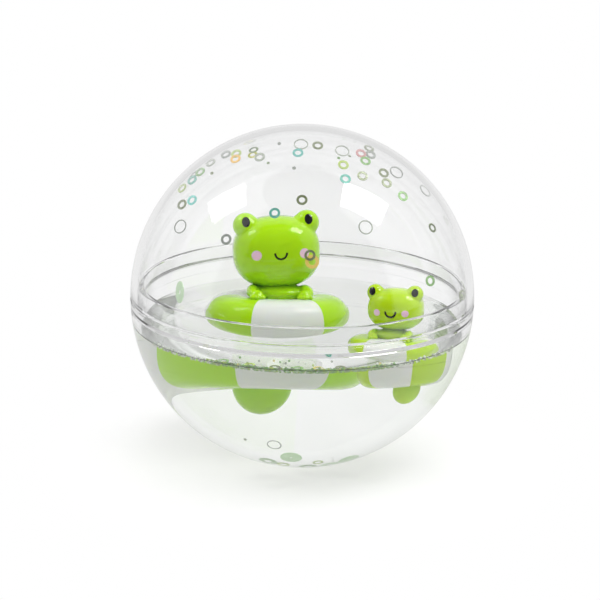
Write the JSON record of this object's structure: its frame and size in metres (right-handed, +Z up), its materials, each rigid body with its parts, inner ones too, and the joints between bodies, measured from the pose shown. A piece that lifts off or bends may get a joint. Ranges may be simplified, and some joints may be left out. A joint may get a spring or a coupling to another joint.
{
  "type": "floating frog bath ball",
  "caption": "Clear sealed ball part filled with water, in which a large and a small green frog in swim rings bob, rock and spin among loose iridescent film rings",
  "frame": {"origin": "bottom centre of the ball, in the plane of the base flat", "axes": "+Z up through the ball's centre; -Y is the side that the frogs face; +X is to the right seen from that side"},
  "size_m": [0.1, 0.1, 0.099],
  "materials": {
    "clear_plastic": "gloss",
    "water": "gloss",
    "green_plastic": "gloss",
    "white_print": "gloss",
    "black_print": "gloss",
    "pink_print": "gloss",
    "steel": "satin",
    "film": "gloss"
  },
  "bodies": {
    "ball": {"upper_dome": "clear_plastic", "lower_bowl": "clear_plastic", "fill_plug": "clear_plastic"},
    "dome_films": {"dome_bubble_ring_1": "film", "dome_bubble_ring_2": "film", "dome_bubble_ring_3": "film", "dome_bubble_ring_4": "film", "dome_bubble_ring_5": "film", "dome_film_ring_6": "film", "dome_film_ring_7": "film", "dome_film_ring_8": "film", "dome_film_ring_9": "film", "dome_film_ring_10": "film", "dome_film_ring_11": "film", "dome_film_ring_12": "film", "dome_film_ring_13": "film", "dome_film_ring_14": "film", "dome_film_ring_15": "film", "dome_film_ring_16": "film", "dome_film_ring_17": "film", "dome_film_ring_18": "film", "dome_film_ring_19": "film", "dome_film_ring_20": "film", "dome_film_ring_21": "film", "dome_film_ring_22": "film"},
    "water": {"water": "water", "floating_film_ring_1": "film", "floating_film_ring_2": "film", "floating_film_ring_3": "film", "floating_film_ring_4": "film", "floating_film_ring_5": "film", "floating_film_ring_6": "film"},
    "big_ballast": {"big_ballast_ball": "steel"},
    "big_cup": {"big_ballast_cup": "green_plastic"},
    "big_frog": {"big_ring_lower": "green_plastic", "big_ring_upper": "green_plastic", "big_body": "green_plastic", "big_head": "green_plastic"},
    "small_ballast": {"small_ballast_ball": "steel"},
    "small_cup": {"small_ballast_cup": "green_plastic"},
    "small_frog": {"small_ring_lower": "green_plastic", "small_ring_upper": "green_plastic", "small_body": "green_plastic", "small_head": "green_plastic"}
  },
  "joints": [
    {"name": "film_slip", "type": "hinge", "parent": "ball", "child": "dome_films", "pos_m": [0, 0, 0.04899], "axis": [0, 0, 1], "continuous": true},
    {"name": "water_swirl", "type": "hinge", "parent": "ball", "child": "water", "pos_m": [0, 0, 0.04899], "axis": [0, 0, 1], "continuous": true},
    {"name": "big_bob", "type": "slide", "parent": "water", "child": "big_ballast", "axis": [0, 0, 1], "range_m": [-0.004, 0.004], "stiffness_N_per_m": 14, "deforming": ["water"]},
    {"name": "big_rock", "type": "hinge", "parent": "big_ballast", "child": "big_cup", "pos_m": [-0.00748, 0.01363, 0.02719], "axis": [1, 0, 0], "range_deg": [-8, 16], "stiffness_Nm_per_rad": 0.006, "deforming": ["water"]},
    {"name": "big_spin", "type": "hinge", "parent": "big_cup", "child": "big_frog", "pos_m": [-0.00748, 0.01492, 0.03529], "axis": [0, 0.1564, 0.9877], "continuous": true, "deforming": ["water"]},
    {"name": "small_bob", "type": "slide", "parent": "water", "child": "small_ballast", "axis": [0, 0, 1], "range_m": [-0.003, 0.003], "stiffness_N_per_m": 5.5, "deforming": ["water"]},
    {"name": "small_rock", "type": "hinge", "parent": "small_ballast", "child": "small_cup", "pos_m": [0.02611, -0.01784, 0.03065], "axis": [1, 0, 0], "range_deg": [-8, 16], "stiffness_Nm_per_rad": 0.0012, "deforming": ["water"]},
    {"name": "small_spin", "type": "hinge", "parent": "small_cup", "child": "small_frog", "pos_m": [0.02611, -0.01695, 0.03699], "axis": [0, 0.1392, 0.9903], "continuous": true, "deforming": ["water"]}
  ]
}
